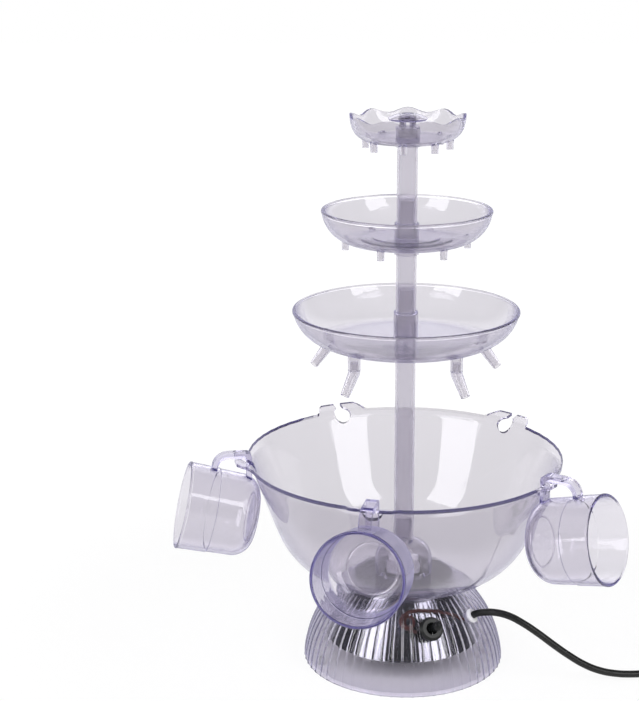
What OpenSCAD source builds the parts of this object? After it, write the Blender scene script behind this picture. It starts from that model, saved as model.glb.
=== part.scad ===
// Three-tier drinks fountain. A ribbed clear base hides a motor and a bright reflector, a bowl with hook tabs
// stands on it with cups hung round its rim, and a plug-together column carries three dishes.
// The origin is on the column's axis at the table, +Z is up, and the front of the fountain faces -Y.

/* [Base] */
// Radius of the clear skirt where it stands on the table
skirt_foot_r = 85.2; // [80:0.2:90]
// Radius of the deck that closes the top of the skirt
deck_r = 43; // [41:0.5:46]
// Height of the deck above the table
deck_z = 74; // [70:1:82]
// Radius of the arc that bulges the skirt's side
skirt_arc_r = 97; // [88:1:130]
// Wall of the skirt
skirt_wall = 2.2; // [1.8:0.1:2.8]
// Thickness of the deck
deck_t = 3; // [2.4:0.2:4]
// Number of upright ribs round the skirt
rib_count = 60; // [40:2:72]
// Height of a rib above the skirt
rib_h = 0.7; // [0.3:0.1:1]
// Radius of the reflector at its lower edge
reflector_foot_r = 66; // [60:1:69]
// Height of the reflector's lower edge above the table
reflector_foot_z = 22; // [18:1:26]
// Thickness of the reflector's sheet
reflector_t = 1.2; // [0.8:0.1:1.6]
// Number of flutes round the reflector
flute_count = 32; // [24:1:40]
// Depth of a reflector flute
flute_h = 0.6; // [0.4:0.1:1.4]
// Thickness of the plate under the base
plate_t = 3; // [2.4:0.2:4]
// Radius of a grip pad under the base
pad_r = 7; // [5:0.5:9]
// Thickness of a grip pad
pad_t = 1.6; // [1:0.1:2]

/* [Motor and pump] */
// Radius of the motor's can
motor_r = 18; // [15:0.5:21]
// Length of the motor's can
motor_l = 38; // [30:1:42]
// Thickness of the flange that the motor hangs from
mount_t = 4; // [3:0.5:6]
// Outer radius of the neck that passes up through the bowl
neck_r = 10; // [9:0.5:12]
// Radius of the bore in the neck
neck_bore_r = 7; // [6:0.5:7.5]
// Radius of the motor's shaft
shaft_r = 2; // [1.5:0.1:2.5]
// Thickness of the gasket under the lock ring
gasket_t = 1.8; // [1:0.2:3]
// Width of the lock ring's wall
lock_w = 4.5; // [3.5:0.5:6]
// Height of the lock ring
lock_h = 5; // [4:0.5:7]
// Radius of the impeller
impeller_r = 12.5; // [10:0.5:14]
// Height of the impeller's blades
blade_h = 5; // [3:0.5:6]
// Number of impeller blades
blade_count = 6; // [4:1:8]
// Outer radius of the pump cover's bell
cover_r = 24; // [22:0.5:28]
// Height of the pump cover from the bowl's floor to the shoulder that the column stands on
cover_h = 31.4; // [29:0.2:38]
// Wall of the pump cover
cover_wall = 2; // [1.6:0.1:2.6]

/* [Bowl] */
// Height of the bowl's side above the deck, up to where its lip starts to bend
bowl_h = 100.6; // [92:0.2:112]
// Radius of the bowl's flat bottom
bowl_floor_r = 42; // [41:0.5:48]
// Radius of the round corner between the bottom and the side
bowl_corner_r = 71; // [60:1:76]
// Lean of the bowl's side away from upright
bowl_lean = 20.5; // [16:0.5:24]
// Wall of the bowl
bowl_wall = 2.6; // [2:0.1:3.2]
// Radius of the bend from the side to the lip
lip_bend_r = 12; // [9:0.5:15]
// Rise of the lip above level
lip_rise = 14; // [8:1:24]
// Radius of the rim between the hook tabs
rim_r = 132.6; // [131:0.2:135]
// Reach of a hook tab beyond the rim
tab_reach = 11.4; // [9:0.2:14]
// Width of a hook tab
tab_w = 42; // [36:1:54]
// Diameter of the keyhole in a hook tab
keyhole_d = 15.6; // [14.6:0.2:17]
// Width of the keyhole's mouth
keyhole_gap = 6.9; // [6:0.1:8]

/* [Cups] */
// Radius of a cup at its mouth
cup_mouth_r = 36.5; // [34:0.5:40]
// Radius of a cup where its side meets the round corner
cup_side_r = 34.8; // [33:0.2:38]
// Length of a cup from base to mouth
cup_l = 61.5; // [56:0.5:70]
// Radius of a cup's round corner
cup_corner_r = 17; // [12:0.5:20]
// Wall of a cup
cup_wall = 2.2; // [1.8:0.1:2.6]
// Upward tilt of a hanging cup's mouth
cup_tilt = 13.5; // [9:0.5:18]
// Drop from the keyhole to the centre of a cup's base
cup_drop = 47.5; // [45:0.5:52]
// Width of the strap handle
strap_w = 9.6; // [8:0.2:10.4]
// Thickness of the strap handle
strap_t = 4.4; // [3.6:0.2:5]
// Reach of the strap handle outside the keyhole
strap_reach = 31; // [27:0.5:35]

/* [Column] */
// Outer diameter of the column's tubes
tube_d = 16.6; // [15:0.2:19]
// Wall of the column's tubes
tube_wall = 1.4; // [1:0.1:1.8]
// Length of the lower tube
lower_tube_l = 197; // [170:1:220]
// Length of the middle tube
mid_tube_l = 72; // [64:1:90]
// Length of the upper tube
upper_tube_l = 76; // [66:1:92]
// Length of the spigots that the tubes slide over
spigot_l = 19; // [14:1:22]
// Wall of the hub sockets round the tubes
socket_wall = 1.6; // [1.2:0.1:2.2]

/* [Dishes] */
// Wall of the dishes
dish_wall = 2.2; // [1.8:0.1:2.8]
// Rim radius of the bottom dish
bottom_dish_r = 93.5; // [88:0.5:100]
// Depth of the bottom dish
bottom_dish_h = 27; // [24:0.5:32]
// Radius of the bottom dish's flat floor
bottom_floor_r = 60; // [54:1:63]
// Rim radius of the middle dish
middle_dish_r = 69.5; // [65:0.5:74]
// Depth of the middle dish
middle_dish_h = 26; // [23:0.5:30]
// Radius of the middle dish's flat floor
middle_floor_r = 41; // [38:1:46]
// Mean rim radius of the top dish
top_dish_r = 46.5; // [43:0.5:50]
// Mean depth of the top dish
top_dish_h = 20; // [17:0.5:23]
// Radius of the top dish's flat floor
top_floor_r = 28; // [26:0.5:31]
// Number of waves round the top dish's rim
wave_count = 9; // [7:1:11]
// Height of a rim wave above and below its mean
wave_h = 1.9; // [0.5:0.1:2.5]
// Outward flare of a rim wave
wave_flare = 0.9; // [0.2:0.1:1.5]
// Radius of the cap over the column's outlet
cap_r = 16; // [14:0.5:19]

/* [Spouts] */
// Radius of the ring of spouts under the bottom dish
spout_ring_r = 69.4; // [66:0.2:72]
// Radius of the nipple that holds a spout
nipple_r = 5; // [4.6:0.1:5.6]
// Length of the nipple below the dish
nipple_l = 9; // [7:0.5:12]
// Length of a spout's slanted leg
spout_l = 20.5; // [17:0.5:24]
// Slant of a spout's leg away from upright
spout_slant = 36; // [24:1:45]
// Radius of the ring of short nozzles under the middle dish
middle_nozzle_ring_r = 50; // [47:0.5:52]
// Radius of the ring of short nozzles under the top dish
top_nozzle_ring_r = 34; // [32:0.5:35]
// Radius of a short nozzle
nozzle_r = 3.2; // [2.8:0.1:3.4]
// Length of a short nozzle
nozzle_l = 5.6; // [4:0.2:8]

/* [Switch and cord] */
// Height of the toggle switch above the table
switch_z = 51; // [47:1:55]
// Radius of the switch's nut
switch_nut_r = 10; // [9:0.2:11]
// Length of the switch's lever from its pivot
lever_l = 16; // [13:0.5:18]
// Lean of the lever to either side
lever_lean = 12; // [8:1:14]
// Height of the cord's grommet above the table
grommet_z = 51; // [49:1:55]
// Diameter of the power cord
cord_d = 6; // [5:0.2:6.4]
// Turns in the stored coil of cord
coil_turns = 6.25; // [4.25:1:6.25]

/* [Hidden] */
$fn = 96;

// Clearances of sliding fits, of the seats of lift-off pieces and of running shafts, and the overrun of cuts
slide_fit = 0.15;
seat_gap = 0.2;
run_fit = 0.04;
over = 1;

// Colours of the clear, bright, dark and pale pieces
lavender = [0.80, 0.78, 0.88, 0.55];
bright = [0.85, 0.86, 0.88];
dark = [0.10, 0.10, 0.11];
pale = [0.93, 0.93, 0.91];
steel = [0.62, 0.63, 0.65];
brown = [0.42, 0.24, 0.16];

// Copies on a circle, outlines and lofts
module ring_of(count, az, r) {
    for (k = [0 : count - 1])
        rotate([0, 0, az + 360 / count * k])
            translate([r, 0, 0])
                children();
}
function unit(v) = v / norm(v);
function polar(r, a) = [r * cos(a), r * sin(a)];
function arc(c, r, a0, a1, n) = [for (i = [0 : n]) c + polar(r, a0 + (a1 - a0) * i / n)];
function flip(list) = [for (i = [len(list) - 1 : -1 : 0]) list[i]];
function smooth(t) = let (u = min(1, max(0, t))) u * u * (3 - 2 * u);

// One corner of an outline, rounded between its neighbours p and n
function corner(p, v, n, r, steps) =
    let (a = unit(p - v), b = unit(n - v), half = acos(a * b) / 2)
    let (c = v + unit(a + b) * r / sin(half))
    let (s = v + a * r / tan(half) - c, e = v + b * r / tan(half) - c)
    let (a0 = atan2(s.y, s.x), turn = (atan2(e.y, e.x) - a0 + 540) % 360 - 180)
    arc(c, r, a0, a0 + turn, steps);
function rounded(points, radii, steps = 6) = [
    for (i = [0 : len(points) - 1])
        let (m = len(points), p = points[(i + m - 1) % m], n = points[(i + 1) % m])
            each radii[i] > 0 ? corner(p, points[i], n, radii[i], steps) : [points[i]]
];

// A closed ring. Its section is an anticlockwise loop of [radius, height, radial wave, upright wave] rows
module wavy_ring(rows, columns, wave) {
    count = len(rows);
    points = [
        for (row = rows)
            for (j = [0 : columns - 1])
                let (a = 360 * j / columns, w = wave(a), r = row[0] + row[2] * w)
                    [r * cos(a), r * sin(a), row[1] + row[3] * w]
    ];
    faces = [
        for (i = [0 : count - 1])
            for (j = [0 : columns - 1])
                let (a = i * columns, b = ((i + 1) % count) * columns, k = (j + 1) % columns)
                    each [[a + j, b + k, a + k], [a + j, b + j, b + k]]
    ];
    polyhedron(points, faces);
}

// A tube swept along a path that never runs upright
function path_tangent(path, i) =
    let (last = len(path) - 1)
    let (before = i > 0 ? unit(path[i] - path[i - 1]) : [0, 0, 0])
    let (after = i < last ? unit(path[i + 1] - path[i]) : [0, 0, 0])
    unit(before + after);
function path_ring(p, t, r, sides) =
    let (side = unit(cross(t, [0, 0, 1])), up = cross(side, t))
    [for (k = [0 : sides - 1]) p + r * (cos(360 * k / sides) * side + sin(360 * k / sides) * up)];
module tube(path, r, sides) {
    last = len(path) - 1;
    points = [for (i = [0 : last]) each path_ring(path[i], path_tangent(path, i), r, sides)];
    walls = [
        for (i = [0 : last - 1])
            for (k = [0 : sides - 1])
                let (a = i * sides, b = a + sides, n = (k + 1) % sides)
                    each [[a + k, b + n, b + k], [a + k, a + n, b + n]]
    ];
    ends = [
        for (k = [1 : sides - 2])
            each [[0, k + 1, k], [last * sides, last * sides + k, last * sides + k + 1]]
    ];
    polyhedron(points, concat(walls, ends));
}
function path_length(path) =
    let (steps = [for (i = [1 : len(path) - 1]) norm(path[i] - path[i - 1])])
    steps * [for (s = steps) 1];

// The skirt's side is an arc through its foot and the edge of the deck
skirt_chord = norm([skirt_foot_r - deck_r, deck_z]);
skirt_sag = sqrt(skirt_arc_r ^ 2 - skirt_chord ^ 2 / 4);
skirt_c = [skirt_foot_r + deck_r, deck_z] / 2 - skirt_sag * [deck_z, skirt_foot_r - deck_r] / skirt_chord;
function skirt_r(z) = skirt_c.x + sqrt(skirt_arc_r ^ 2 - (z - skirt_c.y) ^ 2);
function skirt_tilt(z) = asin((z - skirt_c.y) / skirt_arc_r);
function skirt_in(z) = skirt_r(z) - skirt_wall / cos(skirt_tilt(z));
function skirt_point(az, z, out) =
    let (e = skirt_tilt(z), r = skirt_r(z) + out * cos(e))
    [r * cos(az), r * sin(az), z + out * sin(e)];
module on_skirt(az, z) {
    rotate([0, 0, az])
        translate([skirt_r(z), 0, z])
            rotate([0, 90 - skirt_tilt(z), 0])
                children();
}
skirt_rows = 8;
skirt_inner_rows = 5;

// Stack of pieces on the neck, from the deck down and from the bowl's floor up
reflector_top_z = deck_z - deck_t;
mount_top_z = reflector_top_z - reflector_t;
motor_top_z = mount_top_z - mount_t;
bowl_in_z = deck_z + bowl_wall;
lock_z = bowl_in_z + gasket_t;
neck_proud = 1.5;
neck_top_z = lock_z + lock_h + neck_proud;
neck_hole_r = neck_r + slide_fit;
mount_r = 34;
lock_notch_count = 8;
reflector_gap = 1;

// Screws, lugs and pads under the base
lug_count = 3;
lug_az = 86;
pad_count = 4;
pad_az = 45;
lug_r = 5.5;
lug_l = 12;
lug_z = plate_t + seat_gap;
lug_ring_r = skirt_in(lug_z + lug_l) - lug_r + skirt_wall / 2;
screw_r = 1.5;
screw_head_r = 3;
screw_head_t = 1.6;
screw_l = 12;
screw_recess = 0.6;
pad_ring_r = 56;
vent_ring_r = 32;
vent_r = 2.5;
vent_count = 12;
plate_gap = 0.6;

// Motor and impeller
motor_boss_r = neck_bore_r - slide_fit;
motor_boss_h = 3;
motor_edge = 3;
motor_screw_ring_r = 13;
motor_screw_count = 2;
shaft_in = 12;
seal_h = 6;
impeller_gap = 1.5;
impeller_disc_t = 1.5;
impeller_hub_r = 4.2;
blade_t = 1.4;
blade_bow_r = 11;
impeller_z = neck_top_z + impeller_gap;
shaft_top_z = impeller_z + impeller_disc_t + blade_h;

// Column: each shoulder carries the tube above it
tube_r = tube_d / 2;
spigot_r = tube_r - tube_wall - slide_fit;
spigot_wall = 1.6;
flow_r = spigot_r - spigot_wall;
socket_bore_r = tube_r + slide_fit;
socket_r = socket_bore_r + socket_wall;
shoulder_t = 2;
cover_foot_z = bowl_in_z + seat_gap;
cover_top_z = bowl_in_z + cover_h;
riser_step = 0.7;
riser_r = tube_r + riser_step;
slot_count = 8;
slot_w = 5;
slot_h = 4;
lower_tube_z = cover_top_z + seat_gap;
bottom_hub_z = lower_tube_z + lower_tube_l;
mid_tube_z = bottom_hub_z + shoulder_t + seat_gap;
middle_hub_z = mid_tube_z + mid_tube_l;
upper_tube_z = middle_hub_z + shoulder_t + seat_gap;
top_hub_z = upper_tube_z + upper_tube_l;

// Dishes: drop of each floor's underside below its hub's shoulder, and depth of each hub's socket
bottom_floor_drop = 24;
bottom_socket_l = 24;
middle_floor_drop = 14;
middle_socket_l = 24;
top_floor_drop = 10;
top_socket_l = 14;
bottom_floor_z = bottom_hub_z - bottom_floor_drop;
middle_floor_z = middle_hub_z - middle_floor_drop;
top_floor_z = top_hub_z - top_floor_drop;
rim_bead_share = 0.68;
rim_bead_r = dish_wall * rim_bead_share;
plateau_h = 1.2;
plateau_run_share = 3;
bottom_plateau_r = 50;
bottom_inner_r = 33;
middle_plateau_r = 36;
middle_inner_r = 26;
arc_steps = 14;
bottom_spout_az = 90;
middle_nozzle_az = 6;
top_nozzle_az = -6;
spout_count = 5;
middle_nozzle_count = 6;
top_nozzle_count = 8;
nozzle_bore_r = 1.6;
top_rows = 7;
wave_samples = 8;
wave_start_share = 0.25;
nozzle_root_share = 0.875;
nozzle_taper = 0.4;

// Spouts
nipple_bore_r = 3.5;
stem_r = nipple_bore_r - slide_fit;
stem_l = 7;
spout_bore_r = 2.6;
elbow_r = 4.7;
elbow_drop = 1.6;
spout_tip_r = 3.6;

// Cap over the outlet
cap_h = 4.6;
cap_t = 1.6;
cap_lift = 6.5;
cap_stem_r = flow_r - slide_fit;
cap_stem_l = 8;
cap_foot_r = flow_r + spigot_wall;
cap_slot_w = 3;

// Bowl section: flat bottom, round corner, leaning side, bent lip
bowl_corner_c = [bowl_floor_r, deck_z + bowl_corner_r];
side_foot = bowl_corner_c + polar(bowl_corner_r, -bowl_lean);
side_dir = [sin(bowl_lean), cos(bowl_lean)];
side_out = [cos(bowl_lean), -sin(bowl_lean)];
side_head = side_foot + side_dir * (deck_z + bowl_h - side_foot.y) / side_dir.y;
lip_c = side_head + side_out * lip_bend_r;
lip_turn = 180 - bowl_lean;
lip_end = 90 + lip_rise;
lip_dir = [cos(lip_rise), sin(lip_rise)];
tab_r = rim_r + tab_reach;
lip_root = lip_c + polar(lip_bend_r, lip_end);
lip_run = (tab_r + over - lip_root.x) / lip_dir.x;
function bowl_edge(t) = concat(
    [[neck_bore_r, deck_z + t]],
    arc(bowl_corner_c, bowl_corner_r - t, -90, -bowl_lean, arc_steps),
    arc(lip_c, lip_bend_r + t, lip_turn, lip_end, arc_steps / 2),
    [lip_c + polar(lip_bend_r + t, lip_end) + lip_dir * lip_run]
);

// Hook tabs: the plan of the rim swells out smoothly over each tab
tab_count = 5;
tab_places = [46.5, 116, 190, 259.5, 329];
tab_half = asin(tab_w / 2 / tab_r);
tab_slope = 4.5;
tab_steps = 24;
function tab_az(k) = tab_places[k % tab_count] + 360 * floor(k / tab_count);
function rim_plan_r(off) = rim_r + tab_reach * smooth((tab_half + tab_slope / 2 - abs(off)) / tab_slope);
function tab_plan(k) = [
    for (i = [-tab_steps / 2 : tab_steps / 2])
        let (off = (tab_half + tab_slope) * 2 * i / tab_steps)
            polar(rim_plan_r(off), tab_az(k) + off)
];
rim_steps = 8;
function rim_plan(k) =
    let (a0 = tab_az(k) + tab_half + tab_slope, a1 = tab_az(k + 1) - tab_half - tab_slope)
    [for (i = [1 : rim_steps - 1]) polar(rim_r, a0 + (a1 - a0) * i / rim_steps)];

// Keyhole: its axis crosses the lip square to the bend
keyhole_tilt = 45;
keyhole_c = lip_c + polar(lip_bend_r + bowl_wall / 2, 180 - keyhole_tilt);
tab_top_z = (lip_c + polar(lip_bend_r + bowl_wall, lip_end) + lip_dir * (lip_run - over / lip_dir.x)).y;

// Hanging cup: its corner rests against the bowl's side, its strap hangs over the tab
hang_gap = 0.3;
rest_gap = 0.4;
cup_disc_r = cup_side_r - cup_corner_r;
cup_base_z = keyhole_c.y - cup_drop;
cup_along = [cos(cup_tilt), sin(cup_tilt)];
cup_across = [-sin(cup_tilt), cos(cup_tilt)];
cup_corner_off = cup_along * cup_corner_r + cup_across * cup_disc_r;
cup_base_r = side_foot.x - cup_corner_off.x
    + (cup_corner_r + rest_gap - (cup_base_z + cup_corner_off.y - side_foot.y) * side_out.y) / side_out.x;
cup_step = 0.5;
cup_step_share = 0.6;
cup_bead_share = 1.3;
strap_in_z = tab_top_z + hang_gap;
strap_foot_z = cup_base_z + cup_disc_r;
strap_round = 9;
hole_chord = sqrt(pow(keyhole_d / 2, 2) - pow(strap_w / 2, 2));
lip_out_r = lip_bend_r + bowl_wall;
leg_r = lip_c.x + (lip_bend_r * cos(90 - keyhole_tilt + acos(-hole_chord / lip_bend_r))
    + lip_out_r * cos(90 - keyhole_tilt + acos(hole_chord / lip_out_r))) / 2;

// Switch and grommet on the skirt
switch_az = -70;
bushing_r = 6;
bushing_in_r = 5;
nut_t = 4;
panel_gap = 0.8;
nut_z = rib_h + panel_gap;
body_r = 8;
body_l = 15;
body_z = -skirt_wall - panel_gap;
body_clear = 1.5;
pivot_z = nut_z;
pivot_r = 3.6;
lever_root_r = 2.8;
lever_tip_r = 4;
grommet_az = -32;
grommet_r = 6.2;
grommet_neck_r = 4.8;
grommet_t = 2.4;
grommet_nose = 3;
lead_r = 1.4;
lead_sides = 8;
lead_out = -5.5;
lead_sag = 5;
lead_steps = 8;
lead_rise = 13;
lead_places = [-35, -43, -52, -61, -70, -78, -83.5, -84.5, -82.5, -79];
lead_rise_shares = [0, 0.46, 0.77, 0.96, 1, 0.885, 0.615, 0.31, 0.08, 0];
lead_to_switch = [
    for (i = [0 : len(lead_places) - 1])
        skirt_point(lead_places[i], switch_z + lead_rise * lead_rise_shares[i], lead_out)
];
lead_root = skirt_point(switch_az, switch_z, body_z - body_l - lead_r);
lead_root_r = norm([lead_root.x, lead_root.y]);
lead_to_motor = [
    for (i = [0 : lead_steps])
        let (t = i / lead_steps, r = lead_root_r + (motor_r + hang_gap - lead_root_r) * t)
            [r * cos(switch_az), r * sin(switch_az), lead_root.z - lead_sag * pow(sin(180 * t), 2)]
];

// Power cord: out of the grommet, down to the table and along it to the coil
cord_r = cord_d / 2;
cord_sides = 10;
cord_lift = 1.2;
coil_c = [262, 8];
coil_gap = 0.6;
coil_step = cord_d + coil_gap;
coil_mid = coil_turns / 2;
coil_out_r = 44;
coil_z = cord_r + cord_lift;
coil_sides = 6;
coil_loop_rings = 24;
coil_start_az = -90;
climb_share = 0.25;
function coil_r(t) = coil_out_r - coil_step * (coil_mid - abs(t - coil_mid));
function coil_h(t) = coil_z + coil_step * smooth((t - coil_mid + climb_share) / (2 * climb_share));
function coil_point(t) = let (p = coil_c + polar(coil_r(t), coil_start_az + 360 * t)) [p.x, p.y, coil_h(t)];
coil_loops = [for (i = [0 : coil_turns * coil_loop_rings]) coil_point(i / coil_loop_rings)];
coil_in = coil_loops[0];
coil_out = coil_loops[len(coil_loops) - 1];
plug_half_t = 7;
plug_axis_z = plug_half_t + cord_lift;
tail_l = 54;
tail_steps = 5;
coil_tail = [
    for (i = [1 : tail_steps])
        let (t = i / tail_steps, fall = smooth(t * tail_steps / (tail_steps - 1)))
            coil_out + [0, tail_l * t, (plug_axis_z - coil_out.z) * fall]
];
coil_path = concat([coil_in - [cord_d, 0, 0]], coil_loops, coil_tail);
cord_route = [
    skirt_point(grommet_az, grommet_z, nut_z),
    skirt_point(grommet_az, grommet_z, nut_z + cord_d),
    [68, -42, 59], [77, -46, 61.6], [88, -49, 60.6], [100, -51.5, 56], [113, -52.5, 48.6], [126, -52.5, 40],
    [139, -52, 31.2], [152, -51, 23], [165, -49, 15.8], [179, -46, 9.8], [193, -43, 6], [208, -40, 4.4],
    [224, -37.5, 4.2], [240, -36, 4.2], coil_in - [cord_d, 0, 0]
];
plug_start = coil_tail[len(coil_tail) - 1];
coil_gaps = [
    for (i = [0 : len(coil_path) - 1])
        for (j = [i + coil_loop_rings / 2 : len(coil_path) - 1])
            norm(coil_path[i] - coil_path[j]) - cord_d
];
echo(coil_least_gap_mm = min(coil_gaps), cord_length_mm = path_length(cord_route) + path_length(coil_path));

// Tie round the coil
tie_w = 8;
tie_t = 0.8;
tie_gap = 1.8;
tie_rise = 0.3;
tie_az = 90;
tie_in_r = coil_r(coil_mid - climb_share * 2) - cord_r - tie_gap;
tie_out_r = coil_out_r - coil_step / 2 + cord_r + tie_gap;
tie_low_z = coil_z - cord_r - tie_rise;
tie_high_z = coil_z + coil_step + cord_r + tie_rise;

// Plug
plug_w = 34;
plug_l = 34;
plug_round = 9;
sleeve_l = 14;
sleeve_tip_r = 4.6;
sleeve_root_r = 6.4;
pin_r = 2;
pin_l = 19;
pin_pitch = 19;
pin_set = 6;

// Base

module base_shell() {
    outer = [
        for (i = [0 : skirt_rows])
            let (z = deck_z * i / skirt_rows)
                [skirt_r(z), z, i < skirt_rows ? rib_h : 0, 0]
    ];
    deck = [[neck_bore_r, deck_z, 0, 0], [neck_bore_r, deck_z - deck_t, 0, 0]];
    inner = [
        for (i = [skirt_inner_rows : -1 : 0])
            let (z = (deck_z - deck_t) * i / skirt_inner_rows)
                [skirt_in(z), z, 0, 0]
    ];
    rib_wave = function (a) (1 + cos(rib_count * a)) / 2;
    color(lavender)
        difference() {
            union() {
                wavy_ring(concat(outer, deck, inner), 2 * rib_count, rib_wave);
                ring_of(lug_count, lug_az, lug_ring_r)
                    translate([0, 0, lug_z])
                        cylinder(r = lug_r, h = lug_l);
            }
            translate([0, 0, deck_z - deck_t - over])
                cylinder(r = neck_hole_r, h = deck_t + 2 * over);
            ring_of(lug_count, lug_az, lug_ring_r)
                translate([0, 0, lug_z - over])
                    cylinder(r = screw_r + run_fit, h = screw_l);
            on_skirt(switch_az, switch_z)
                cylinder(r = bushing_r + slide_fit, h = 4 * skirt_wall, center = true);
            on_skirt(grommet_az, grommet_z)
                cylinder(r = grommet_neck_r + slide_fit, h = 4 * skirt_wall, center = true);
        }
}

module reflector() {
    top_r = skirt_in(reflector_top_z) - reflector_gap - flute_h;
    rows = [
        [reflector_foot_r, reflector_foot_z, flute_h, 0],
        [top_r, reflector_top_z, 0, 0],
        [neck_bore_r, reflector_top_z, 0, 0],
        [neck_bore_r, mount_top_z, 0, 0],
        [top_r - reflector_t, mount_top_z, 0, 0],
        [reflector_foot_r - reflector_t, reflector_foot_z, flute_h, 0]
    ];
    color(bright)
        difference() {
            wavy_ring(rows, 2 * flute_count, function (a) cos(flute_count * a));
            translate([0, 0, mount_top_z - over])
                cylinder(r = neck_hole_r, h = reflector_t + 2 * over);
            on_skirt(switch_az, switch_z)
                translate([0, 0, -2 * body_l])
                    cylinder(r = body_r + body_clear, h = 2 * body_l);
            on_skirt(grommet_az, grommet_z)
                translate([0, 0, -2 * body_l])
                    cylinder(r = grommet_neck_r + body_clear, h = 2 * body_l);
        }
}

module bottom_plate() {
    color(pale)
        difference() {
            cylinder(r = skirt_in(plate_t) - plate_gap, h = plate_t);
            ring_of(lug_count, lug_az, lug_ring_r)
                translate([0, 0, -over]) {
                    cylinder(r = screw_r + slide_fit, h = plate_t + 2 * over);
                    cylinder(r = screw_head_r + slide_fit, h = screw_recess + screw_head_t + over);
                }
            ring_of(pad_count, pad_az, pad_ring_r)
                translate([0, 0, -over])
                    cylinder(r = pad_r + slide_fit, h = pad_t + over);
            ring_of(vent_count, 0, vent_ring_r)
                translate([0, 0, -over])
                    cylinder(r = vent_r, h = plate_t + 2 * over);
        }
}

module floor_pads() {
    color(dark)
        ring_of(pad_count, pad_az, pad_ring_r)
            cylinder(r = pad_r, h = pad_t);
}

module plate_screws() {
    color(steel)
        ring_of(lug_count, lug_az, lug_ring_r)
            translate([0, 0, screw_recess]) {
                cylinder(r = screw_head_r, h = screw_head_t);
                cylinder(r = screw_r, h = screw_l - screw_recess);
            }
}

// Motor and pump

module motor_mount() {
    color(pale)
        difference() {
            union() {
                translate([0, 0, motor_top_z])
                    cylinder(r = mount_r, h = mount_t);
                translate([0, 0, motor_top_z])
                    cylinder(r = neck_r, h = neck_top_z - motor_top_z);
            }
            translate([0, 0, motor_top_z - over])
                cylinder(r = neck_bore_r, h = neck_top_z - motor_top_z + 2 * over);
            ring_of(motor_screw_count, 0, motor_screw_ring_r) {
                translate([0, 0, motor_top_z - over])
                    cylinder(r = screw_r + slide_fit, h = mount_t + 2 * over);
                translate([0, 0, mount_top_z - screw_head_t])
                    cylinder(r = screw_head_r + slide_fit, h = screw_head_t + over);
            }
        }
}

module motor_can() {
    z = motor_top_z - motor_l;
    color(steel)
        difference() {
            union() {
                translate([0, 0, z + motor_edge])
                    cylinder(r = motor_r, h = motor_l - motor_edge);
                translate([0, 0, z])
                    cylinder(r1 = motor_r - motor_edge, r2 = motor_r, h = motor_edge);
                translate([0, 0, motor_top_z])
                    cylinder(r = motor_boss_r, h = motor_boss_h);
            }
            translate([0, 0, motor_top_z - shaft_in - over])
                cylinder(r = shaft_r + run_fit, h = shaft_in + motor_boss_h + 2 * over);
            ring_of(motor_screw_count, 0, motor_screw_ring_r)
                translate([0, 0, motor_top_z - screw_l])
                    cylinder(r = screw_r + run_fit, h = screw_l + over);
        }
}

module motor_screws() {
    color(steel)
        ring_of(motor_screw_count, 0, motor_screw_ring_r) {
            translate([0, 0, mount_top_z - screw_head_t])
                cylinder(r = screw_head_r, h = screw_head_t);
            translate([0, 0, mount_top_z - screw_l])
                cylinder(r = screw_r, h = screw_l);
        }
}

module shaft_seal() {
    color(dark)
        translate([0, 0, neck_top_z - seal_h])
            difference() {
                cylinder(r = neck_bore_r - run_fit, h = seal_h);
                translate([0, 0, -over])
                    cylinder(r = shaft_r + run_fit, h = seal_h + 2 * over);
            }
}

module motor_shaft() {
    color(steel)
        translate([0, 0, motor_top_z - shaft_in])
            cylinder(r = shaft_r, h = shaft_top_z - motor_top_z + shaft_in);
}

module blade() {
    bow = impeller_r / 2;
    intersection() {
        circle(r = impeller_r);
        translate([bow, -sqrt(blade_bow_r ^ 2 - bow ^ 2)])
            difference() {
                circle(r = blade_bow_r);
                circle(r = blade_bow_r - blade_t);
            }
        translate([shaft_r, -impeller_r / 2])
            square(impeller_r);
    }
}
module impeller() {
    color(pale)
        translate([0, 0, impeller_z])
            difference() {
                union() {
                    cylinder(r = impeller_r, h = impeller_disc_t);
                    cylinder(r = impeller_hub_r, h = impeller_disc_t + blade_h);
                    linear_extrude(impeller_disc_t + blade_h)
                        ring_of(blade_count, 0, 0)
                            blade();
                }
                translate([0, 0, -over])
                    cylinder(r = shaft_r + run_fit / 4, h = impeller_disc_t + blade_h + 2 * over);
            }
}

module bowl_gasket() {
    color(dark)
        translate([0, 0, bowl_in_z])
            difference() {
                cylinder(r = neck_r + lock_w + gasket_t, h = gasket_t);
                translate([0, 0, -over])
                    cylinder(r = neck_hole_r, h = gasket_t + 2 * over);
            }
}

module lock_ring() {
    color(pale)
        translate([0, 0, lock_z])
            difference() {
                cylinder(r = neck_r + lock_w, h = lock_h);
                translate([0, 0, -over])
                    cylinder(r = neck_r + run_fit, h = lock_h + 2 * over);
                ring_of(lock_notch_count, 0, neck_r + lock_w)
                    translate([0, 0, -over])
                        cylinder(r = lock_w / 3, h = lock_h + 2 * over);
            }
}

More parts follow.
